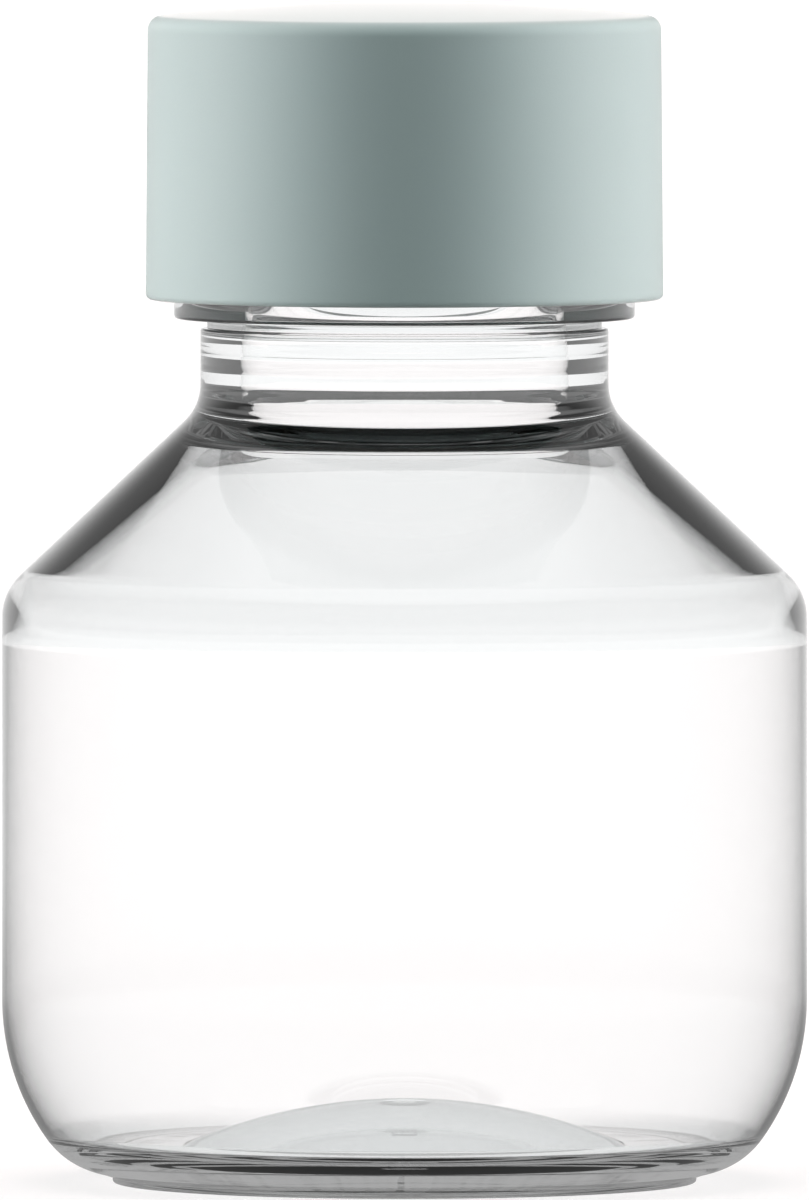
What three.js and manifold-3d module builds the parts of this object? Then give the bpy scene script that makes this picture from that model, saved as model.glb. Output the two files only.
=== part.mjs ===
// A clear blown bottle of about 100 ml for toner or lotion, closed by a double-walled screw cap.
// Sizes are in millimetres. +Z is up and the origin is the centre of the foot's resting plane.
// The bottle and the cap are revolved profiles. Their matching screw threads are swept along a
// helix and joined to the walls that carry them.

import * as THREE from 'three';
import { mergeVertices } from 'three/addons/utils/BufferGeometryUtils.js';
import Module from 'manifold-3d';

const wasm = await Module();
wasm.setup();

// Facets
const facetsRound = 48;
const filletSteps = 3;
const cornerSteps = 6;
const slopeSteps = 5;

// Body of the bottle
const bodyRadius = 27.5;
const bodyBottomZ = 12.5;
const bodyTopZ = 38.6;
const bodyWallLow = 0.28;
const bodyWallTop = 0.42;

// Foot, heel and push-up of the base
const footRadius = 19.95;
const footHeight = 0.4;
const footEdgeRadius = 0.2;
const cornerRadius = 16.4;
const cornerTurn = THREE.MathUtils.degToRad(35.4);
const heelRadius = 5.7;
const heelTurn = THREE.MathUtils.degToRad(44);
const footRingWidth = 5.3;
const pushUpHeight = 3.2;
const baseWall = 2.2;
const gateRadius = 0.9;
const gateHeight = 0.5;

// Shoulder
const shoulderCornerRadius = 4;
const shoulderTurn = THREE.MathUtils.degToRad(46.8);
const shoulderWall = 2.2;
const thinWallRise = 2;
const thickWallRise = 5.8;
const neckFilletRadius = 3.6;

// Neck and support ring
const barrelRadius = 13.94;
const barrelWall = 2.74;
const barrelHeight = 5.35;
const barrelEdgeRadius = 0.35;
const grooveDepth = 0.45;
const grooveHeight = 0.65;
const ringRadius = 15.74;
const ringFaceHeight = 1.5;
const ringThickness = 2;
const ringEdgeRadius = 0.25;

// Screw finish of the neck
const finishHeight = 15.7;
const finishRootRadius = 12.55;
const finishBoreRadius = 10.8;
const lipRadius = 0.35;

// Screw thread, right-handed
const pitch = 4.2333;
const threadDepth = 1.15;
const threadRootWidth = 2.2;
const threadCrestWidth = 1.1;
const neckThreadTurns = 1.5;
const capThreadTurns = 2;
const threadRunOut = THREE.MathUtils.degToRad(30);
const threadStartDrop = 2;
const threadSunk = 0.5;
const flankGap = 0.3;
const threadClearance = 0.35;

// Cap
const ringClearance = 0.67;
const outerSkirtWall = 1.25;
const innerSkirtWall = 1.2;
const innerSkirtGap = 0.4;
const capRimDrop = 0.7;
const capRimRadius = 0.4;
const capDraft = 0.14;
const capTopWall = 1.65;
const crownHeight = 1.17;
const capEdgeRadius = 1;
const slotRoofWall = 1.9;

// Liner under the cap's roof
const linerThickness = 1;
const linerClearance = 0.3;
const seatGap = 0.1;

// Heights and radii that follow from the sizes above
const shoulderCorner = filletPoint(bodyTopZ, shoulderTurn, shoulderCornerRadius);
const shoulderFoot = { radius: bodyRadius - shoulderCorner.inward, z: shoulderCorner.z };
const neckRootZ = shoulderFoot.z + (shoulderFoot.radius - barrelRadius) / Math.tan(shoulderTurn);
const barrelTopZ = neckRootZ + barrelHeight;
const ringBottomZ = barrelTopZ + grooveHeight;
const ringTopZ = ringBottomZ + ringThickness;
const landZ = ringTopZ + finishHeight;
const linerBottomZ = landZ + seatGap;
const roofZ = linerBottomZ + linerThickness + seatGap;
const capRimZ = ringTopZ - capRimDrop;
const capShoulderZ = roofZ + capTopWall;
const outerSkirtBore = ringRadius + ringClearance;
const capRadius = outerSkirtBore + outerSkirtWall;
const capTopRadius = capRadius - capDraft;
const capRootRadius = finishRootRadius + threadDepth + threadClearance;
const neckThreadTopZ = landZ - threadStartDrop;
const flankWidth = (threadRootWidth + threadCrestWidth) / 2;
const capThreadTopZ = neckThreadTopZ - flankWidth - flankGap;

// The end of an arc that leaves an upright wall at wallTopZ and turns inward by the angle given.
function filletPoint(wallTopZ, turn, radius) {
  return { inward: radius * (1 - Math.cos(turn)), z: wallTopZ + radius * Math.sin(turn) };
}

// Points of an arc in the half plane of radius and height, both ends included.
function arc(centreRadius, centreZ, radius, fromAngle, toAngle, steps) {
  const points = [];
  for (let step = 0; step <= steps; step += 1) {
    const angle = fromAngle + ((toAngle - fromAngle) * step) / steps;
    points.push([centreRadius + radius * Math.cos(angle), centreZ + radius * Math.sin(angle)]);
  }
  return points;
}

// Drops the triangles that have collapsed where a profile meets the axis.
function weld(geometry) {
  geometry.deleteAttribute('normal');
  geometry.deleteAttribute('uv');
  const welded = mergeVertices(geometry, 1e-4);
  const corners = welded.getIndex().array;
  const kept = [];
  for (let at = 0; at < corners.length; at += 3) {
    const [first, second, third] = corners.slice(at, at + 3);
    if (first !== second && second !== third && third !== first) {
      kept.push(first, second, third);
    }
  }
  welded.setIndex(kept);
  return welded;
}

// Revolves a profile of [radius, height] pairs, given from the axis at the bottom round the outside.
function revolve(profile) {
  const points = profile.map(([radius, z]) => new THREE.Vector2(Math.max(radius, 0), z));
  const geometry = new THREE.LatheGeometry(points, facetsRound);
  geometry.rotateX(Math.PI / 2);
  return weld(geometry);
}

function toSolid(geometry) {
  return new wasm.Manifold(new wasm.Mesh({
    numProp: 3,
    vertProperties: new Float32Array(geometry.getAttribute('position').array),
    triVerts: new Uint32Array(geometry.getIndex().array),
  }));
}

function toGeometry(solid) {
  const mesh = solid.getMesh();
  const geometry = new THREE.BufferGeometry();
  geometry.setAttribute('position', new THREE.BufferAttribute(mesh.vertProperties, 3));
  geometry.setIndex(new THREE.BufferAttribute(mesh.triVerts, 1));
  geometry.computeVertexNormals();
  return geometry;
}

// One screw ridge. Each cross section is a trapezium with its wide side sunk into the wall.
// At each end the ridge starts half sunk and rises out of the wall over the run-out. Its sections
// lie halfway between the wall's edges, so that no face of one lies in a face of the other.
// outward is 1 on a neck and -1 in a cap.
function threadRidge(wallRadius, topZ, turns, outward) {
  const sections = Math.round(turns * facetsRound);
  const positions = [];
  for (let section = 0; section <= sections; section += 1) {
    const angle = (-2 * Math.PI * (section + 0.5)) / facetsRound;
    const z = topZ - (pitch * section) / facetsRound;
    const fromEnd = (2 * Math.PI * Math.min(section, sections - section)) / facetsRound;
    const share = THREE.MathUtils.smoothstep(fromEnd, 0, threadRunOut);
    const rise = THREE.MathUtils.lerp(-threadSunk / 2, threadDepth, share);
    const narrowing = (threadRootWidth - threadCrestWidth) * share;
    const sunkRadius = wallRadius - outward * threadSunk;
    const crestRadius = wallRadius + outward * rise;
    const corners = [
      [sunkRadius, z - threadRootWidth / 2],
      [crestRadius, z - (threadRootWidth - narrowing) / 2],
      [crestRadius, z + (threadRootWidth - narrowing) / 2],
      [sunkRadius, z + threadRootWidth / 2],
    ];
    for (const [radius, height] of corners) {
      positions.push(radius * Math.cos(angle), radius * Math.sin(angle), height);
    }
  }
  const geometry = new THREE.BufferGeometry();
  geometry.setAttribute('position', new THREE.Float32BufferAttribute(positions, 3));
  geometry.setIndex(ridgeFaces(sections, outward));
  return geometry;
}

// Triangles between neighbouring four-cornered sections, with a cap on each end.
function ridgeFaces(sections, outward) {
  const faces = [];
  const addFace = (first, second, third) => {
    faces.push(first, ...(outward > 0 ? [third, second] : [second, third]));
  };
  for (let section = 0; section < sections; section += 1) {
    for (let corner = 0; corner < 4; corner += 1) {
      const here = section * 4 + corner;
      const beside = section * 4 + ((corner + 1) % 4);
      addFace(here, here + 4, beside);
      addFace(beside, here + 4, beside + 4);
    }
  }
  const last = sections * 4;
  addFace(0, 1, 2);
  addFace(0, 2, 3);
  addFace(last, last + 2, last + 1);
  addFace(last, last + 3, last + 2);
  return faces;
}

// Outside of the bottle from the foot's edge up to the land of the mouth.
function bottleOutside() {
  const corner = { radius: bodyRadius - cornerRadius, z: bodyBottomZ };
  const heelReach = cornerRadius - heelRadius;
  const heel = {
    radius: corner.radius + heelReach * Math.cos(cornerTurn),
    z: corner.z - heelReach * Math.sin(cornerTurn),
  };
  const shoulderCentre = bodyRadius - shoulderCornerRadius;
  const filletRise = neckFilletRadius * Math.tan(shoulderTurn / 2);
  const filletZ = neckRootZ + filletRise;
  const grooveRadius = barrelRadius - grooveDepth;
  return [
    ...arc(footRadius - footEdgeRadius, footEdgeRadius, footEdgeRadius, -Math.PI / 2, 0, 2),
    [footRadius, footHeight],
    ...arc(heel.radius, heel.z, heelRadius, -cornerTurn - heelTurn, -cornerTurn, filletSteps + 2),
    ...arc(corner.radius, corner.z, cornerRadius, -cornerTurn, 0, cornerSteps).slice(1),
    ...arc(shoulderCentre, bodyTopZ, shoulderCornerRadius, 0, shoulderTurn, filletSteps + 2),
    ...arc(barrelRadius + neckFilletRadius, filletZ, neckFilletRadius,
      Math.PI + shoulderTurn, Math.PI, filletSteps + 1),
    ...arc(barrelRadius - barrelEdgeRadius, barrelTopZ - barrelEdgeRadius, barrelEdgeRadius,
      0, Math.PI / 2, 2),
    [grooveRadius, barrelTopZ],
    [grooveRadius, ringBottomZ],
    ...arc(ringRadius - ringEdgeRadius, ringBottomZ + ringEdgeRadius, ringEdgeRadius,
      -Math.PI / 2, 0, 2),
    [ringRadius, ringBottomZ + ringFaceHeight],
    [finishRootRadius, ringTopZ],
    ...arc(finishRootRadius - lipRadius, landZ - lipRadius, lipRadius, 0, Math.PI / 2, 2),
  ];
}

// Wall thickness, measured level. Blowing leaves it thin in the body and thick towards the neck.
function wallAt(z) {
  if (z < bodyTopZ) {
    return THREE.MathUtils.mapLinear(z, bodyBottomZ, bodyTopZ, bodyWallLow, bodyWallTop);
  }
  const shoulderShare = THREE.MathUtils.smoothstep(z, bodyTopZ + thinWallRise, bodyTopZ + thickWallRise);
  const neckShare = THREE.MathUtils.smoothstep(z, bodyTopZ + thickWallRise, neckRootZ);
  const blown = THREE.MathUtils.lerp(bodyWallTop, shoulderWall, shoulderShare);
  return THREE.MathUtils.lerp(blown, barrelWall, neckShare);
}

// Points spread along the straight slope between two profile points, both ends left out.
function spread([fromRadius, fromZ], [toRadius, toZ], count) {
  const points = [];
  for (let step = 1; step <= count; step += 1) {
    const share = step / (count + 1);
    points.push([
      THREE.MathUtils.lerp(fromRadius, toRadius, share),
      THREE.MathUtils.lerp(fromZ, toZ, share),
    ]);
  }
  return points;
}

// Inside of the bottle from the mouth down to the middle of the push-up.
function bottleInside(outside) {
  const blownPart = outside.filter(([, z]) => z >= bodyBottomZ && z <= barrelTopZ - barrelEdgeRadius);
  const slopeStart = blownPart.findIndex(([radius]) => radius <= shoulderFoot.radius + 1e-6);
  const slope = spread(blownPart[slopeStart], blownPart[slopeStart + 1], slopeSteps);
  blownPart.splice(slopeStart + 1, 0, ...slope);
  const wall = blownPart.map(([radius, z]) => [radius - wallAt(z), z]).reverse();
  const innerCorner = bodyBottomZ - baseWall;
  const innerCentre = bodyRadius - bodyWallLow - innerCorner;
  const domeRadius = footRadius - footRingWidth;
  return [
    [finishBoreRadius + lipRadius, landZ],
    [finishBoreRadius, landZ - lipRadius],
    [finishBoreRadius, ringTopZ],
    ...wall.slice(0, -1),
    ...arc(innerCentre, bodyBottomZ, innerCorner, 0, -Math.PI / 2, cornerSteps),
    ...dome(domeRadius + baseWall / 4, baseWall, pushUpHeight, 0),
  ];
}

// Shallow dome of part of a sphere, from its rim in to the radius where it stops.
function dome(rimRadius, rimZ, height, stopRadius) {
  const sphere = (rimRadius ** 2 + height ** 2) / (2 * height);
  const rimAngle = Math.acos(rimRadius / sphere);
  const stopAngle = Math.acos(stopRadius / sphere);
  return arc(0, rimZ + height - sphere, sphere, rimAngle, stopAngle, filletSteps);
}

function bottleGeometry() {
  const outside = bottleOutside();
  const gate = [
    [0, pushUpHeight - gateHeight],
    [gateRadius, pushUpHeight - gateHeight],
  ];
  const underside = dome(footRadius - footRingWidth, 0, pushUpHeight, gateRadius).reverse();
  const profile = [...gate, ...underside, ...outside, ...bottleInside(outside)];
  const neckThread = threadRidge(finishRootRadius, neckThreadTopZ, neckThreadTurns, 1);
  return toGeometry(toSolid(revolve(profile)).add(toSolid(neckThread)));
}

// Outside of the cap from its rim up to the middle of the crowned top.
function capOutside() {
  const sphere = (capTopRadius ** 2 + crownHeight ** 2) / (2 * crownHeight);
  const sphereZ = capShoulderZ + crownHeight - sphere;
  const edgeCentre = capTopRadius - capEdgeRadius;
  const edgeZ = sphereZ + Math.sqrt((sphere - capEdgeRadius) ** 2 - edgeCentre ** 2);
  const crownAngle = Math.atan2(edgeZ - sphereZ, edgeCentre);
  return [
    ...arc(capRadius - capRimRadius, capRimZ + capRimRadius, capRimRadius, -Math.PI / 2, 0, 2),
    ...arc(edgeCentre, edgeZ, capEdgeRadius, 0, crownAngle, filletSteps),
    ...arc(0, sphereZ, sphere, crownAngle, Math.PI / 2, filletSteps + 1).slice(1),
  ];
}

function capGeometry() {
  const innerSkirtZ = ringTopZ + innerSkirtGap;
  const innerSkirtRadius = capRootRadius + innerSkirtWall;
  const slotRoofZ = capShoulderZ - slotRoofWall;
  const profile = [
    [0, roofZ],
    [capRootRadius, roofZ],
    [capRootRadius, innerSkirtZ],
    [innerSkirtRadius, innerSkirtZ],
    [innerSkirtRadius, slotRoofZ],
    [outerSkirtBore - capDraft, slotRoofZ],
    [outerSkirtBore, capRimZ],
    ...capOutside(),
  ];
  const capThread = threadRidge(capRootRadius, capThreadTopZ, capThreadTurns, -1);
  return toGeometry(toSolid(revolve(profile)).add(toSolid(capThread)));
}

function linerGeometry() {
  const radius = capRootRadius - linerClearance;
  return revolve([
    [0, linerBottomZ],
    [radius, linerBottomZ],
    [radius, linerBottomZ + linerThickness],
    [0, linerBottomZ + linerThickness],
  ]);
}

function piece(name, geometry, color, roughness, opacity) {
  const material = new THREE.MeshStandardMaterial({ color, roughness, metalness: 0 });
  material.opacity = opacity;
  material.transparent = opacity < 1;
  const mesh = new THREE.Mesh(geometry, material);
  mesh.name = name;
  return mesh;
}

const cosmeticBottle = new THREE.Group();
cosmeticBottle.add(piece('bottle', bottleGeometry(), 0xf4f8f9, 0.05, 0.3));
cosmeticBottle.add(piece('screw_cap', capGeometry(), 0xb4c8c6, 0.45, 1));
cosmeticBottle.add(piece('cap_liner', linerGeometry(), 0xf2f2ee, 0.8, 1));

export default cosmeticBottle;
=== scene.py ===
# %% [markdown]
# A clear blown bottle with a matte screw cap, dressed for its picture. The imported model gives the
# frame: which solid belongs to which moving body. It is loaded first.

# %% Load the frame
import math

import bpy
import numpy as np
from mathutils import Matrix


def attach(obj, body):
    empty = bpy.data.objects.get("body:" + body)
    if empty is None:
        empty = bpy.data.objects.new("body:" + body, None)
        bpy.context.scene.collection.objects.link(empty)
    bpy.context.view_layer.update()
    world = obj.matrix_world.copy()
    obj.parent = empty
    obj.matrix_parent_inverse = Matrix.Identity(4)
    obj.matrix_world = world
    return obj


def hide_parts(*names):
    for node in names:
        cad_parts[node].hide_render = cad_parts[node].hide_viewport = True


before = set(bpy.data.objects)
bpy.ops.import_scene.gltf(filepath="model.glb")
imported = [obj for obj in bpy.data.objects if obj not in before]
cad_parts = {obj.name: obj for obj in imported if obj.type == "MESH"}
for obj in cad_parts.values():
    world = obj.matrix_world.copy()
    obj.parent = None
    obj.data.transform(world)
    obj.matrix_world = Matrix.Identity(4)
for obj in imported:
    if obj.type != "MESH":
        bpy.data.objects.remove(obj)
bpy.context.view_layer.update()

MM = 0.001

# %% [markdown]
# Everything on this object is round, so each piece is a profile turned about the upright axis. A
# profile is an array of radius and height in millimetres. It starts on the axis, goes round the
# outside and comes back along the inside, so the wall is one closed skin with its true thickness.
# A refracting material needs exactly that: light bends once at each face that it really meets.

# %% Profile helpers
NEARLY_STRAIGHT, LONGEST_REACH = 1.55, 0.49


def arc(centre_radius, centre_z, radius, start, end, steps):
    """Points on a circle in the half plane: centre plus radius times cosine and sine of an angle
    that runs from start to end in degrees."""
    turn = np.radians(np.linspace(start, end, steps + 1))
    across, up = radius * np.cos(turn), radius * np.sin(turn)
    return np.column_stack([centre_radius + across, centre_z + up])


def dome(rim_radius, rim_z, height, stop_radius, steps):
    """Part of a sphere over a round rim: the sphere's radius is (rim squared + height squared) over
    twice the height, and the angle runs from the rim to the radius where it stops."""
    sphere = (rim_radius**2 + height**2) / (2 * height)
    start = math.degrees(math.acos(rim_radius / sphere))
    stop = math.degrees(math.acos(stop_radius / sphere))
    return arc(0, rim_z + height - sphere, sphere, start, stop, steps)


def rounded(corners, step_degrees=9.0):
    """Each corner is radius, height and fillet. A fillet is the circle that touches both sides: it
    starts its radius over the tangent of half the corner's angle away from the corner, and it takes
    at most LONGEST_REACH of either side. A corner that is nearly straight stays a point."""
    corners = np.asarray(corners, float)
    made = [corners[:1, :2]]
    for before, here, after in zip(corners[:-2, :2], corners[1:-1], corners[2:, :2]):
        point, fillet = here[:2], here[2]
        back, ahead = before - point, after - point
        back_length, ahead_length = np.linalg.norm(back), np.linalg.norm(ahead)
        back, ahead = back / back_length, ahead / ahead_length
        half = 0.5 * math.acos(float(np.clip(back @ ahead, -1.0, 1.0)))
        if fillet <= 0 or half > NEARLY_STRAIGHT:
            made.append(point[None])
            continue
        reach = min(fillet / math.tan(half), LONGEST_REACH * back_length, LONGEST_REACH * ahead_length)
        fillet = reach * math.tan(half)
        middle = (back + ahead) / np.linalg.norm(back + ahead)
        centre = point + middle * fillet / math.sin(half)
        first = point + back * reach - centre
        last = point + ahead * reach - centre
        start, end = math.atan2(first[1], first[0]), math.atan2(last[1], last[0])
        sweep = (end - start + math.pi) % (2 * math.pi) - math.pi
        steps = max(3, int(abs(math.degrees(sweep)) / step_degrees))
        made.append(arc(*centre, fillet, math.degrees(start), math.degrees(start + sweep), steps))
    made.append(corners[-1:, :2])
    return np.vstack(made)


def evened(profile, longest):
    """The same line with no step longer than the length given, so that shading stays even."""
    made = [profile[:1]]
    for here, after in zip(profile[:-1], profile[1:]):
        count = max(1, int(math.ceil(np.linalg.norm(after - here) / longest)))
        share = np.linspace(0, 1, count + 1)[1:, None]
        made.append(here + (after - here) * share)
    return np.vstack(made)


def smoothstep(value, start, end):
    """0 before start, 1 after end, and 3 t squared minus 2 t cubed between them."""
    share = np.clip((value - start) / (end - start), 0.0, 1.0)
    return share * share * (3 - 2 * share)


# %% [markdown]
# A turned grid becomes a mesh in one go. The grid's rows follow the profile and its columns go
# round, and the two ends on the axis are single points, so the skin is closed with no seam. The
# radius may also change with the angle, which is how the screw thread is raised later.

# %% Turn a profile into a piece
COLUMNS = 144


def turned_piece(name, profile, body, replaced, ridge=None):
    """Position = radius times cosine and sine of the angle, and the height. The radius is the
    profile's own plus ridge(angle, profile), where there is one."""
    inner = profile[1:-1]
    angle = np.linspace(0, 2 * math.pi, COLUMNS, endpoint=False)[None, :]
    radius = inner[:, :1] + (ridge(angle, inner) if ridge else 0.0)
    grid = np.stack([
        radius * np.cos(angle),
        radius * np.sin(angle),
        np.broadcast_to(inner[:, 1:], radius.shape if ridge else (len(inner), COLUMNS)),
    ], axis=-1).reshape(-1, 3)
    points = np.vstack([grid, [[0, 0, profile[0, 1]], [0, 0, profile[-1, 1]]]]) * MM
    rows = np.arange(len(inner) - 1)[:, None] * COLUMNS
    here = np.arange(COLUMNS)[None, :]
    beside = (here + 1) % COLUMNS
    above = rows + COLUMNS
    quads = np.stack([rows + here, rows + beside, above + beside, above + here], -1)
    first_pole, last_pole = len(grid), len(grid) + 1
    last_row = (len(inner) - 1) * COLUMNS
    ring = np.arange(COLUMNS)
    ring_beside = (ring + 1) % COLUMNS
    start_fan = np.column_stack([np.full(COLUMNS, first_pole), ring_beside, ring])
    end_fan = np.column_stack([
        np.full(COLUMNS, last_pole), last_row + ring, last_row + ring_beside])
    faces = quads.reshape(-1, 4).tolist() + start_fan.tolist() + end_fan.tolist()
    mesh = bpy.data.meshes.new(name)
    mesh.from_pydata(points.tolist(), [], faces)
    mesh.shade_smooth()
    mesh.update()
    piece = bpy.data.objects.new(name, mesh)
    bpy.context.scene.collection.objects.link(piece)
    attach(piece, body)
    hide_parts(replaced)
    print(name, "faces", len(faces), "height mm", round(float(np.ptp(points[:, 2])) / MM, 2))
    return piece


# %% [markdown]
# The bottle's outside is a chain of arcs and straight stretches: a narrow foot, a tight heel that
# opens into a wide corner, an upright wall, a small corner into the sloping shoulder, a hollow
# fillet into the neck, a groove and the support ring that holds the bottle while it is filled.
# Keeping real arcs matters here, because every bend shows as a light or dark line in clear plastic.

# %% Sizes of the bottle
BODY_RADIUS, BODY_BOTTOM, BODY_TOP = 27.5, 12.5, 38.6
WALL_LOW, WALL_TOP, BARREL_WALL = 0.28, 0.42, 2.74
FOOT_RADIUS, FOOT_HEIGHT, FOOT_RING = 19.95, 0.4, 5.3
CORNER_RADIUS, CORNER_TURN, HEEL_RADIUS, HEEL_TURN = 16.4, 35.4, 5.7, 44.0
PUSH_UP, BASE_WALL, GATE_RADIUS, GATE_HEIGHT = 3.2, 2.2, 0.9, 0.5
CORNER_WALL, HEEL_WALL, FOOT_WALL = 0.4, 1.6, 2.2
SHOULDER_CORNER, SHOULDER_TURN, NECK_FILLET = 4.0, 46.8, 3.6
SHOULDER_START, SHOULDER_GROWTH, EASE = -0.8, 0.18, 0.8
STEP_RISE, STEP_HEIGHT = 11.4, 0.9
BARREL_RADIUS, BARREL_HEIGHT, BARREL_EDGE = 13.94, 5.35, 0.55
GROOVE_DEPTH, GROOVE_HEIGHT = 0.45, 0.65
RING_RADIUS, RING_FACE, RING_THICK, RING_EDGE = 15.74, 1.5, 2.0, 0.25
FINISH_HEIGHT, FINISH_RADIUS, BORE_RADIUS, LIP = 15.7, 12.55, 10.8, 0.35
FOOT_EDGE, FOOT_SEAM, GATE_EDGE, FOOT_BEND, FLOOR_INSET, HEEL_STOP = 0.2, 0.12, 0.2, 0.8, 0.6, 0.2
GROOVE_LOW_EDGE, GROOVE_TOP_EDGE, RING_TOP_EDGE, FINISH_START = 0.08, 0.1, 0.3, 0.6
BORE_BEND, STEP_BEND, BORE_TAPER_RISE = 1.2, 0.5, 2.0
RIPPLES, RIPPLE_GAP, RIPPLE_FADE, RIPPLE_END = ((0.02, 1.55), (0.008, 0.67)), 0.2, 1.0, 0.4
BLOWN_STEP, BORE_STEP, FINISH_STEP, INSIDE_STEP = 0.5, 0.2, 0.13, 0.9

turn = math.radians(SHOULDER_TURN)
shoulder_start = (BODY_RADIUS - SHOULDER_CORNER * (1 - math.cos(turn)),
                  BODY_TOP + SHOULDER_CORNER * math.sin(turn))
neck_root_z = shoulder_start[1] + (shoulder_start[0] - BARREL_RADIUS) / math.tan(turn)
barrel_top_z = neck_root_z + BARREL_HEIGHT
ring_bottom_z = barrel_top_z + GROOVE_HEIGHT
ring_top_z = ring_bottom_z + RING_THICK
land_z = ring_top_z + FINISH_HEIGHT
for place_name, place_z in (("neck root", neck_root_z), ("ring", ring_bottom_z), ("land", land_z)):
    print(place_name, "height mm", round(place_z, 2))

# %% Outside of the bottle
corner_centre = (BODY_RADIUS - CORNER_RADIUS, BODY_BOTTOM)
heel_reach = CORNER_RADIUS - HEEL_RADIUS
heel_centre = (corner_centre[0] + heel_reach * math.cos(math.radians(CORNER_TURN)),
               corner_centre[1] - heel_reach * math.sin(math.radians(CORNER_TURN)))
heel = arc(*heel_centre, HEEL_RADIUS, -CORNER_TURN - HEEL_TURN, -CORNER_TURN, 14)
wide_corner = arc(*corner_centre, CORNER_RADIUS, -CORNER_TURN, 0, 18)[1:]
shoulder_corner = arc(
    BODY_RADIUS - SHOULDER_CORNER, BODY_TOP, SHOULDER_CORNER, 0, SHOULDER_TURN, 14)
fillet_z = neck_root_z + NECK_FILLET * math.tan(turn / 2)
neck_fillet = arc(
    BARREL_RADIUS + NECK_FILLET, fillet_z, NECK_FILLET, 180 + SHOULDER_TURN, 180, 12)
blown_outside = np.vstack([heel, wide_corner, shoulder_corner, neck_fillet])
blown_outside = evened(blown_outside, BLOWN_STEP)
foot_edge = rounded([
    (FOOT_RADIUS - FOOT_RING, 0, 0), (FOOT_RADIUS, 0, FOOT_EDGE),
    (FOOT_RADIUS, FOOT_HEIGHT, FOOT_SEAM), (*heel[0], 0),
])[1:-1]
groove_radius = BARREL_RADIUS - GROOVE_DEPTH
collar = rounded([
    (BARREL_RADIUS, fillet_z, 0), (BARREL_RADIUS, barrel_top_z, BARREL_EDGE),
    (groove_radius, barrel_top_z, GROOVE_LOW_EDGE), (groove_radius, ring_bottom_z, GROOVE_TOP_EDGE),
    (RING_RADIUS, ring_bottom_z, RING_EDGE), (RING_RADIUS, ring_bottom_z + RING_FACE, RING_TOP_EDGE),
    (FINISH_RADIUS, ring_top_z, RING_TOP_EDGE), (FINISH_RADIUS, ring_top_z + 1, 0),
])[1:-1]
print("outside points", len(blown_outside), "collar points", len(collar))

# %% [markdown]
# The wall isn't even. The neck is moulded first, thick and exact, and the body is blown from it, so
# the plastic thins through the shoulder and is thinnest low in the body, then thickens again into
# the base, which stretches least. The inside is therefore the outside moved in by a wall that
# depends on the height. The shoulder thins in one straight line, and so its dark edges run all the
# way down it. Just under the neck the bore opens in a quick step, flat enough to turn light round
# inside the plastic, and that step is the dark ellipse seen at the neck's root.

# %% Inside of the bottle
def wall_at(z):
    """Level wall thickness: straight-line growth up the body, then much faster growth in a straight
    line up the shoulder. The bend between the two is eased over EASE millimetres on each side."""
    body = np.interp(z, [BODY_BOTTOM, BODY_TOP], [WALL_LOW, WALL_TOP])
    above = z - BODY_TOP - SHOULDER_START
    eased = np.where(above > EASE, above, np.clip(above + EASE, 0, None)**2 / (4 * EASE))
    return body + SHOULDER_GROWTH * eased


def neck_ripple(z):
    """Faint level ripples in the neck's bore: each is its size times the sine of the height over its
    length, and their sum fades out at both ends."""
    start, end = step_z + STEP_HEIGHT + RIPPLE_GAP, ring_bottom_z + RIPPLE_END
    lower = smoothstep(z, start, start + RIPPLE_FADE)
    upper = 1 - smoothstep(z, end - RIPPLE_FADE, end)
    waves = sum(size * np.sin(2 * math.pi * z / length) for size, length in RIPPLES)
    return waves * lower * upper


step_z = BODY_TOP + STEP_RISE
height = blown_outside[:, 1]
upper = blown_outside[(height >= BODY_BOTTOM) & (height <= step_z)]
inner_wall = np.column_stack([upper[:, 0] - wall_at(upper[:, 1]), upper[:, 1]])[::-1]
barrel_bore = BARREL_RADIUS - BARREL_WALL
bore = rounded([
    (FINISH_RADIUS, land_z, 0), (BORE_RADIUS, land_z, LIP), (BORE_RADIUS, ring_top_z, BORE_BEND),
    (barrel_bore, fillet_z + BORE_TAPER_RISE, BORE_BEND),
    (barrel_bore, step_z + STEP_HEIGHT, STEP_BEND), (*inner_wall[0], 0),
])[1:-1]
upper_bore, barrel = bore[bore[:, 1] > ring_top_z], bore[bore[:, 1] <= ring_top_z]
barrel = evened(barrel, BORE_STEP)
barrel[:, 0] += neck_ripple(barrel[:, 1])
bore = np.vstack([upper_bore, barrel])


def thickened(outer, centre, thin, thick):
    """Each point moved towards the arc's centre by a wall that grows evenly along the arc."""
    wall = np.linspace(thin, thick, len(outer))[:, None]
    inward = np.asarray(centre) - outer
    return outer + inward / np.linalg.norm(inward, axis=1, keepdims=True) * wall


inner_corner = thickened(wide_corner[::-1], corner_centre, WALL_LOW, CORNER_WALL)[1:]
inner_heel = thickened(heel[::-1], heel_centre, CORNER_WALL, HEEL_WALL)
inner_heel = inner_heel[inner_heel[:, 1] > FOOT_WALL + HEEL_STOP]
dome_radius = FOOT_RADIUS - FOOT_RING
dome_foot = dome_radius + BASE_WALL / 4
inner_dome = dome(dome_foot, FOOT_WALL, PUSH_UP + BASE_WALL - FOOT_WALL, 0, 20)
floor_radius = inner_heel[-1, 0] - FLOOR_INSET
inner_foot = rounded([(*inner_heel[-1], 0), (floor_radius, FOOT_WALL, FOOT_BEND),
                      (dome_foot, FOOT_WALL, FOOT_BEND), (*inner_dome[2], 0)])[1:-1]
inside = np.vstack([bore, inner_wall, inner_corner, inner_heel, inner_foot, inner_dome[2:]])
inside = evened(inside, INSIDE_STEP)

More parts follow.
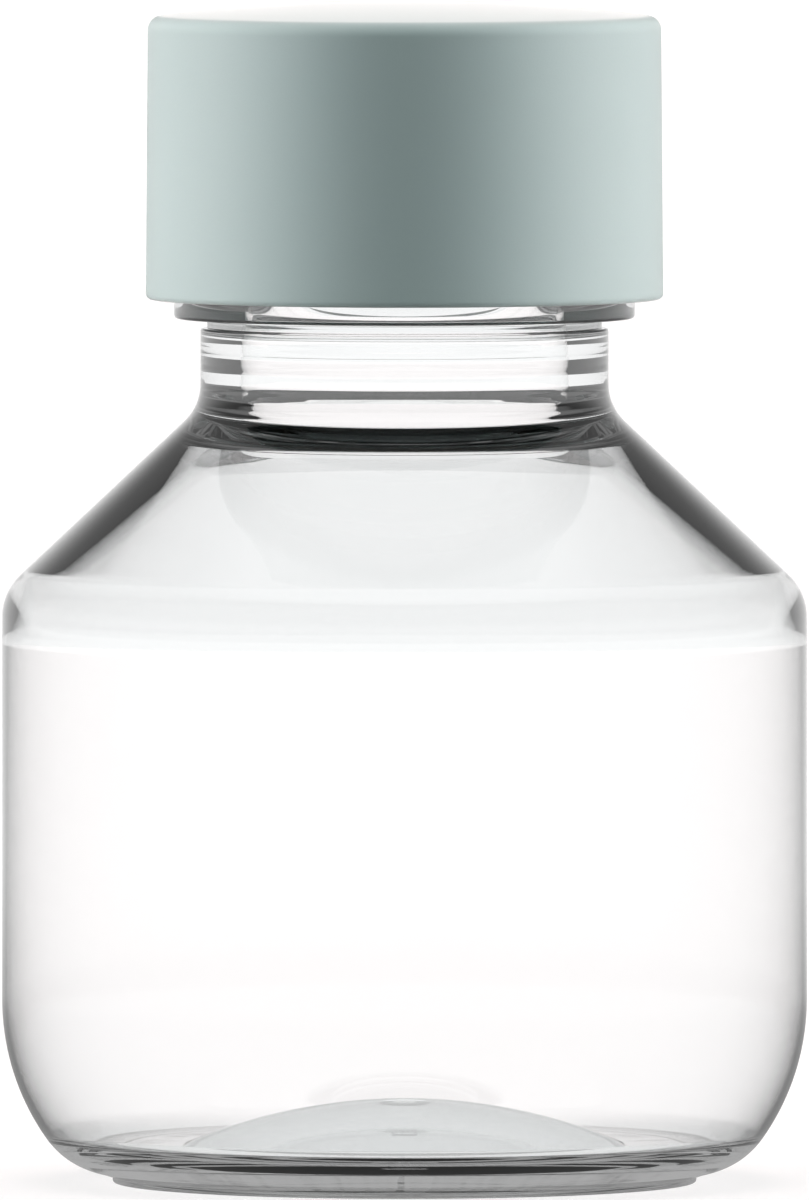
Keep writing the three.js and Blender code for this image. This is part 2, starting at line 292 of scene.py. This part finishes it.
underside = dome(dome_radius, 0, PUSH_UP, GATE_RADIUS, 16)[::-1]
gate = rounded([(0, PUSH_UP - GATE_HEIGHT, 0), (GATE_RADIUS, PUSH_UP - GATE_HEIGHT, GATE_EDGE),
                (GATE_RADIUS, PUSH_UP, 0)])[:-1]
finish = evened(rounded([
    (FINISH_RADIUS, ring_top_z + FINISH_START, 0), (FINISH_RADIUS, land_z, LIP),
    (BORE_RADIUS, land_z, 0)])[:-1], FINISH_STEP)
bottle_profile = np.vstack([gate, underside, foot_edge, blown_outside, collar, finish, inside])
print("profile points", len(bottle_profile))

# %% [markdown]
# The screw thread is what closes the pack, and the hardest form to get right. On the neck it is one
# ridge of trapezium section, wound one and a half times round the finish, and it rises out of the
# wall and dies back into it. Here the ridge is added to the radius: how far a point lies from the
# helix, up or down, decides how high the skin stands there. The cap carries the matching ridge just
# under it, on the same helix, so the two stay clear of each other as the cap is unscrewed.

# %% Screw thread
PITCH, THREAD_DEPTH, ROOT_WIDTH, CREST_WIDTH = 4.2333, 1.15, 2.2, 1.1
THREAD_DROP, RUN_OUT, FLANK_GAP, CLEARANCE = 2.0, math.radians(30), 0.3, 0.35
NECK_TURNS, CAP_TURNS, ON_WALL, SOFT_EDGE = 1.5, 2.0, 0.01, 0.06
ABOVE_RING, BELOW_ROOF = 0.4, 0.5


def thread_height(angle, z, top_z, turns):
    """Height of a right-handed ridge. The helix falls by one pitch for each turn clockwise from its
    top. For each of its turns the ridge is flat within half its crest and slopes to nothing at half
    its root, and both ends fade out over the run-out. The largest value over the turns is kept."""
    tallest = np.zeros(np.broadcast(angle, z).shape)
    for lap in range(int(math.ceil(turns)) + 1):
        travelled = (2 * math.pi - angle) % (2 * math.pi) + 2 * math.pi * lap
        centre_z = top_z - PITCH * travelled / (2 * math.pi)
        from_end = np.minimum(travelled, turns * 2 * math.pi - travelled)
        fade = smoothstep(from_end, 0, RUN_OUT)
        off = np.abs(z - centre_z)
        slope = (ROOT_WIDTH / 2 - off) / (ROOT_WIDTH / 2 - CREST_WIDTH / 2)
        flank = smoothstep(slope, -SOFT_EDGE, 1 + SOFT_EDGE)
        tallest = np.maximum(tallest, fade * flank * THREAD_DEPTH)
    return tallest


neck_thread_top = land_z - THREAD_DROP
bottle = turned_piece(
    "bottle_skin", bottle_profile, "bottle_body", "bottle",
    lambda angle, rows: np.where(
        (np.abs(rows[:, :1] - FINISH_RADIUS) < ON_WALL) & (rows[:, 1:] > ring_top_z + ABOVE_RING),
        thread_height(angle, rows[:, 1:], neck_thread_top, NECK_TURNS), 0.0))

# %% [markdown]
# The cap is one moulding with two walls. The outer skirt is the smooth sleeve that the hand turns,
# and the inner skirt carries the thread. A narrow slot between them keeps both walls thin, so that
# neither sinks as it cools. The top is a very shallow dome with a soft edge, which is why it catches
# a bright line all round.

# %% Cap
RING_CLEARANCE, OUTER_SKIRT, INNER_SKIRT, SKIRT_GAP, RIM_DROP = 0.67, 1.25, 1.2, 0.4, 0.7
DRAFT, TOP_WALL, CROWN, CAP_EDGE, RIM_FILLET, SLOT_ROOF = 0.14, 1.65, 1.17, 1.0, 0.4, 1.9
LINER_THICK, LINER_CLEARANCE, SEAT_GAP, LINER_EDGE = 1.0, 0.3, 0.1, 0.08
CAP_BEND, SKIRT_EDGE, CAP_STEP, LINER_STEP = 0.3, 0.2, 0.28, 0.5

liner_bottom = land_z + SEAT_GAP
roof_z = liner_bottom + LINER_THICK + SEAT_GAP
rim_z = ring_top_z - RIM_DROP
cap_shoulder_z = roof_z + TOP_WALL
outer_bore = RING_RADIUS + RING_CLEARANCE
cap_radius = outer_bore + OUTER_SKIRT
top_radius = cap_radius - DRAFT
root_radius = FINISH_RADIUS + THREAD_DEPTH + CLEARANCE
skirt_z = ring_top_z + SKIRT_GAP
skirt_radius = root_radius + INNER_SKIRT
slot_z = cap_shoulder_z - SLOT_ROOF

sphere = (top_radius**2 + CROWN**2) / (2 * CROWN)
sphere_z = cap_shoulder_z + CROWN - sphere
edge_centre = top_radius - CAP_EDGE
edge_z = sphere_z + math.sqrt((sphere - CAP_EDGE)**2 - edge_centre**2)
crown_angle = math.degrees(math.atan2(edge_z - sphere_z, edge_centre))
cap_inside = rounded([
    (0, roof_z, 0), (root_radius, roof_z, CAP_BEND), (root_radius, skirt_z, SKIRT_EDGE),
    (skirt_radius, skirt_z, SKIRT_EDGE), (skirt_radius, slot_z, CAP_BEND),
    (outer_bore - DRAFT, slot_z, CAP_BEND), (outer_bore, rim_z, CAP_BEND),
    (cap_radius, rim_z, RIM_FILLET), (cap_radius - DRAFT, edge_z, 0),
])[:-1]
cap_outside = np.vstack([
    arc(edge_centre, edge_z, CAP_EDGE, 0, crown_angle, 14),
    arc(0, sphere_z, sphere, crown_angle, 90, 24)[1:],
])
cap_profile = evened(np.vstack([cap_inside, cap_outside]), CAP_STEP)
cap_thread_top = neck_thread_top - (ROOT_WIDTH + CREST_WIDTH) / 2 - FLANK_GAP
cap = turned_piece(
    "cap_skin", cap_profile, "cap_body", "screw_cap",
    lambda angle, rows: np.where(
        (np.abs(rows[:, :1] - root_radius) < ON_WALL) & (rows[:, 1:] < roof_z - BELOW_ROOF),
        -thread_height(angle, rows[:, 1:], cap_thread_top, CAP_TURNS), 0.0))
print("cap radius", round(cap_radius, 2), "peak", round(cap_shoulder_z + CROWN, 2))

# %% Liner
liner_radius = root_radius - LINER_CLEARANCE
liner_profile = evened(rounded([
    (0, liner_bottom, 0), (liner_radius, liner_bottom, LINER_EDGE),
    (liner_radius, liner_bottom + LINER_THICK, LINER_EDGE), (0, liner_bottom + LINER_THICK, 0),
]), LINER_STEP)
liner = turned_piece("liner_disc", liner_profile, "liner_body", "cap_liner")

# %% [markdown]
# Materials are written as sums. A small class wraps a node's socket, so that a value can be added to
# or multiplied like a number while the Math nodes appear behind it. Any other node comes from one
# method, which takes the node's type, its settings and what goes into its sockets.

# %% Shader sums
class Value:
    """One socket of a node tree, with the arithmetic that adds Math nodes."""

    def __init__(self, tree, socket):
        self.tree, self.socket = tree, socket

    def math(self, operation, other=None, swapped=False):
        node = self.tree.nodes.new("ShaderNodeMath")
        node.operation = operation
        pair = [self, other][::-1] if swapped else [self, other]
        for at, part in enumerate(pair):
            plug(self.tree, node.inputs[at], part)
        return Value(self.tree, node.outputs[0])

    def __add__(self, other):
        return self.math("ADD", other)

    def __radd__(self, other):
        return self.math("ADD", other, True)

    def __sub__(self, other):
        return self.math("SUBTRACT", other)

    def __rsub__(self, other):
        return self.math("SUBTRACT", other, True)

    def __mul__(self, other):
        return self.math("MULTIPLY", other)

    def __rmul__(self, other):
        return self.math("MULTIPLY", other, True)

    def above(self, other):
        return self.math("GREATER_THAN", other)

    def below(self, other):
        return self.math("LESS_THAN", other)

    def largest(self, other):
        return self.math("MAXIMUM", other)


def plug(tree, socket, part):
    """Links a Value into a socket, or sets the socket to a plain number, colour or vector."""
    if isinstance(part, Value):
        tree.links.new(part.socket, socket)
    elif part is not None:
        socket.default_value = part


class Shade:
    """A node tree with one method that makes any node: settings first, then sockets by name."""

    def __init__(self, tree):
        self.tree = tree
        tree.nodes.clear()

    def node(self, kind, settings=None, output=0, **sockets):
        made = self.tree.nodes.new("ShaderNode" + kind)
        for key, setting in (settings or {}).items():
            setattr(made, key, setting)
        for key, part in sockets.items():
            name = int(key[1:]) if key[0] == "i" and key[1:].isdigit() else key.replace("_", " ")
            plug(self.tree, made.inputs[name], part)
        return Value(self.tree, made.outputs[output]) if made.outputs else made

    def blend_colour(self, share, first, second):
        return self.node("Mix", {"data_type": "RGBA"}, 2, i0=share, i6=first, i7=second)

    def noise(self, place, scale, detail=2.0):
        return self.node("TexNoise", Vector=place, Scale=scale, Detail=detail)

    def ramp(self, value, start, end):
        """0 at start and 1 at end, eased at both."""
        eased = {"interpolation_type": "SMOOTHSTEP"}
        return self.node("MapRange", eased, Value=value, i1=start, i2=end)


def new_material(name):
    made = bpy.data.materials.new(name)
    made.use_nodes = True
    return made, Shade(made.node_tree)


# %% [markdown]
# The bottle is clear polyester: smooth, colourless but for a breath of cool grey that drifts a
# little, and a strong bender of light. Its refractive index is set on the shader itself. The bends
# of the real wall do all the rest, so the skin needs no bump.

# %% Clear plastic
CLEAR_INDEX, TINT_SCALE = 1.57, 60.0
CLEAR_COOL, CLEAR_PALE = (0.985, 0.995, 0.995, 1.0), (0.992, 0.998, 1.0, 1.0)

clear, sums = new_material("clear_polyester")
place = sums.node("TexCoord", output=3)
drift = sums.noise(place, TINT_SCALE)
tint = sums.blend_colour(drift, CLEAR_COOL, CLEAR_PALE)
clear_shader = sums.node("BsdfPrincipled", Base_Color=tint, Roughness=0.0)
clear_node = clear_shader.socket.node
clear_node.inputs["IOR"].default_value = CLEAR_INDEX
clear_node.inputs["Transmission Weight"].default_value = 1.0
sums.node("OutputMaterial", Surface=clear_shader)
bottle.data.materials.append(clear)
print("clear plastic nodes", len(clear.node_tree.nodes))

# %% [markdown]
# The cap is matte moulded plastic in a pale grey mint. Its skin takes the fine spark-eroded grain of
# the mould, far too small to see as dots but enough to spread the highlight, so it lives in a fine
# bump and in a roughness that varies a little. A weak sheen lifts the skin where it is seen edge on.

# %% Matte mint plastic
MINT_DEEP, MINT_PALE = (0.283, 0.392, 0.388, 1.0), (0.308, 0.417, 0.412, 1.0)
CLOUD_SCALE, GRAIN_SCALE, GRAIN_STRENGTH, GRAIN_DEPTH = 90.0, 5200.0, 0.12, 0.00003
MINT_ROUGHNESS, ROUGHNESS_DRIFT, MINT_GLOSS, MINT_SHEEN, SHEEN_SPREAD = 0.64, 0.08, 0.35, 0.4, 0.5

mint, sums = new_material("matte_mint_plastic")
place = sums.node("TexCoord", output=3)
cloud = sums.noise(place, CLOUD_SCALE, 3.0)
grain = sums.noise(place, GRAIN_SCALE, 1.0)
mint_colour = sums.blend_colour(cloud, MINT_DEEP, MINT_PALE)
grain_bump = sums.node("Bump", Strength=GRAIN_STRENGTH, Distance=GRAIN_DEPTH, Height=grain)
mint_shader = sums.node(
    "BsdfPrincipled", Base_Color=mint_colour, Normal=grain_bump,
    Roughness=MINT_ROUGHNESS + cloud * ROUGHNESS_DRIFT)
mint_node = mint_shader.socket.node
mint_node.inputs["Specular IOR Level"].default_value = MINT_GLOSS
mint_node.inputs["Sheen Weight"].default_value = MINT_SHEEN
mint_node.inputs["Sheen Roughness"].default_value = SHEEN_SPREAD
sums.node("OutputMaterial", Surface=mint_shader)
cap.data.materials.append(mint)

# %% [markdown]
# The liner is a disc stamped from closed-cell foam. Up close it is a field of tiny bubbles under a
# skin, so a cell pattern drives its bump, and its colour shifts slightly from cell to cell.

# %% Foam
FOAM_DEEP, FOAM_PALE = (0.86, 0.86, 0.82, 1.0), (0.93, 0.93, 0.9, 1.0)
CELL_SCALE, CELL_STRENGTH, CELL_DEPTH, FOAM_ROUGHNESS, CELL_DRIFT = 2600.0, 0.3, 0.00008, 0.75, 0.15

foam, sums = new_material("liner_foam")
place = sums.node("TexCoord", output=3)
cells = sums.node("TexVoronoi", Vector=place, Scale=CELL_SCALE)
foam_colour = sums.blend_colour(cells, FOAM_DEEP, FOAM_PALE)
foam_bump = sums.node("Bump", Strength=CELL_STRENGTH, Distance=CELL_DEPTH, Height=cells)
foam_shader = sums.node(
    "BsdfPrincipled", Base_Color=foam_colour, Normal=foam_bump,
    Roughness=FOAM_ROUGHNESS + cells * CELL_DRIFT)
sums.node("OutputMaterial", Surface=foam_shader)
liner.data.materials.append(foam)

# %% [markdown]
# The studio is a wide white floor with a bright lamp at each side, warmer towards the back, a weaker
# one overhead and none in front, which is how clear packs are lit: the middle of a matte cap falls
# into shade and its sides glow. Straight views of the surroundings show plain white. Light that was
# turned round inside the plastic wall comes from beside the white, where the room is dark, and that
# draws the dark edges of clear plastic. The Light Path node tells which is which, for the world and
# for the floor.

# %% Light that was turned inside the plastic
WHITE = (1.0, 1.0, 1.0, 1.0)
INNER_TURN_LEVEL, MIRROR_LEVEL = 0.12, 0.4
ANY_TURN, MANY_TURNS, NEAR_DEPTH, FAR_DEPTH = 0.5, 1.5, 3.5, 5.5


def ways_of_seeing(sums):
    """Four masks: a ray that is seen at all, one that was mirrored last, one that was turned in the
    near wall or more than once, and one that was turned far behind it. A turned ray left the plastic
    after one mirroring or more. Under 4 bounces the near wall did it, over 5 the far wall or base."""
    camera = sums.node("LightPath", output="Is Camera Ray")
    glossy = sums.node("LightPath", output="Is Glossy Ray")
    through = sums.node("LightPath", output="Is Transmission Ray")
    depth = sums.node("LightPath", output="Ray Depth")
    bounces = sums.node("LightPath", output="Glossy Depth")
    once = through * bounces.above(ANY_TURN)
    turned = (once * depth.below(NEAR_DEPTH)).largest(through * bounces.above(MANY_TURNS))
    seen = camera.largest(glossy).largest(through)
    return seen, glossy * (1.0 - through), turned, once * depth.above(FAR_DEPTH)


# %% World
SIDE_LEVEL, TOP_LEVEL, LAMP_WARM = 19.5, 5.5, (1.25, 1.0, 0.98, 1.0)
SIDE_LAMPS, TOP_LAMP, WARM_BACK = (0.85, 0.99), (0.88, 1.0), (-0.2, 0.2)
CEILING_START, CEILING_END = (0.1, 0.4), (0.95, 0.8)

world = bpy.data.worlds.new("studio")
world.use_nodes = True
bpy.context.scene.world = world
sums = Shade(world.node_tree)
seen, mirrored, turned, _ = ways_of_seeing(sums)
direction = sums.node("TexCoord", output=0)
across = sums.node("SeparateXYZ", Vector=direction)
sideways = across.math("ABSOLUTE")
rearward = Value(world.node_tree, across.socket.node.outputs[1])
upward = Value(world.node_tree, across.socket.node.outputs[2])
lamp_level = sums.ramp(sideways, *SIDE_LAMPS) * SIDE_LEVEL + sums.ramp(upward, *TOP_LAMP) * TOP_LEVEL
above_horizon = sums.ramp(upward, *CEILING_START)
below_zenith = sums.ramp(upward, *CEILING_END)
dark_ceiling = mirrored * above_horizon * below_zenith
dark_room = turned * below_zenith
seen_level = 1.0 - dark_room * (1.0 - INNER_TURN_LEVEL) - dark_ceiling * (1.0 - MIRROR_LEVEL)
level = lamp_level * (1.0 - seen) + seen_level * seen
warm_part = (1.0 - seen) * sums.ramp(rearward, *WARM_BACK)
lamp_colour = sums.blend_colour(warm_part, WHITE, LAMP_WARM)
backing = sums.node("Background", Color=lamp_colour, Strength=level)
sums.node("OutputWorld", Surface=backing)
print("world nodes", len(world.node_tree.nodes))

# %% Floor
FLOOR_SIZE, FLOOR_ALBEDO, FLOOR_LIFT, NEAR_FLOOR, FAR_FLOOR = 6.0, 0.27, 0.76, 0.05, 0.5
floor_mesh = bpy.data.meshes.new("floor")
floor_mesh.from_pydata(
    [(-FLOOR_SIZE, -FLOOR_SIZE, 0), (FLOOR_SIZE, -FLOOR_SIZE, 0), (FLOOR_SIZE, FLOOR_SIZE, 0),
     (-FLOOR_SIZE, FLOOR_SIZE, 0)], [], [(0, 1, 2, 3)])
floor = bpy.data.objects.new("floor", floor_mesh)
bpy.context.scene.collection.objects.link(floor)

paper, sums = new_material("white_floor")
seen, mirrored, turned_near, turned_far = ways_of_seeing(sums)
ground = sums.node("TexCoord", output=3)
distance = sums.node("VectorMath", {"operation": "LENGTH"}, 1, i0=ground)
far_away = sums.ramp(distance, NEAR_FLOOR, FAR_FLOOR)
turned = turned_near.largest(turned_far * (1.0 - far_away))
lit = sums.node("BsdfDiffuse", Color=(FLOOR_ALBEDO, FLOOR_ALBEDO, FLOOR_ALBEDO, 1.0))
lift = sums.node("Emission", Color=WHITE, Strength=seen * FLOOR_LIFT)
bright = sums.node("AddShader", i0=lit, i1=lift)
mirror_level = MIRROR_LEVEL + far_away * (1.0 - MIRROR_LEVEL)
plain_level = turned * INNER_TURN_LEVEL + mirrored * mirror_level
plain = sums.node("Emission", Color=WHITE, Strength=plain_level)
shown = sums.node("MixShader", i0=turned.largest(mirrored), i1=bright, i2=plain)
sums.node("OutputMaterial", Surface=shown)
floor.data.materials.append(paper)
print("floor nodes", len(paper.node_tree.nodes))

# %% [markdown]
# The photograph is taken almost level with a long lens, so the camera stands far back and a little
# above the cap. Its lens follows from the height that the frame shows at the bottle's distance.

# %% Camera
FRAME_HEIGHT, DISTANCE, CAMERA_Z, AIM_Z, SENSOR_MM = 0.08196, 2.5, 0.147, 0.0398, 36.0
camera_data = bpy.data.cameras.new("camera")
camera = bpy.data.objects.new("camera", camera_data)
bpy.context.scene.collection.objects.link(camera)
bpy.context.scene.camera = camera
camera.location = (0.0, -DISTANCE, CAMERA_Z)
tilt = math.atan2(CAMERA_Z - AIM_Z, DISTANCE)
camera.rotation_euler = (math.pi / 2 - tilt, 0.0, 0.0)
camera_data.sensor_width = SENSOR_MM
camera_data.lens = SENSOR_MM * math.hypot(DISTANCE, CAMERA_Z - AIM_Z) / FRAME_HEIGHT
camera_data.clip_start, camera_data.clip_end = 0.1, 20.0
print("lens mm", round(camera_data.lens, 1), "tilt", round(math.degrees(tilt), 2))

# %% Look of the picture
scene = bpy.context.scene
scene.view_settings.view_transform = "Standard"
scene.cycles.max_bounces = 16
scene.cycles.transmission_bounces = 16
scene.cycles.glossy_bounces = 8
scene.cycles.diffuse_bounces = 3
scene.cycles.caustics_reflective = False
print("longest path", scene.cycles.max_bounces, "bounces")
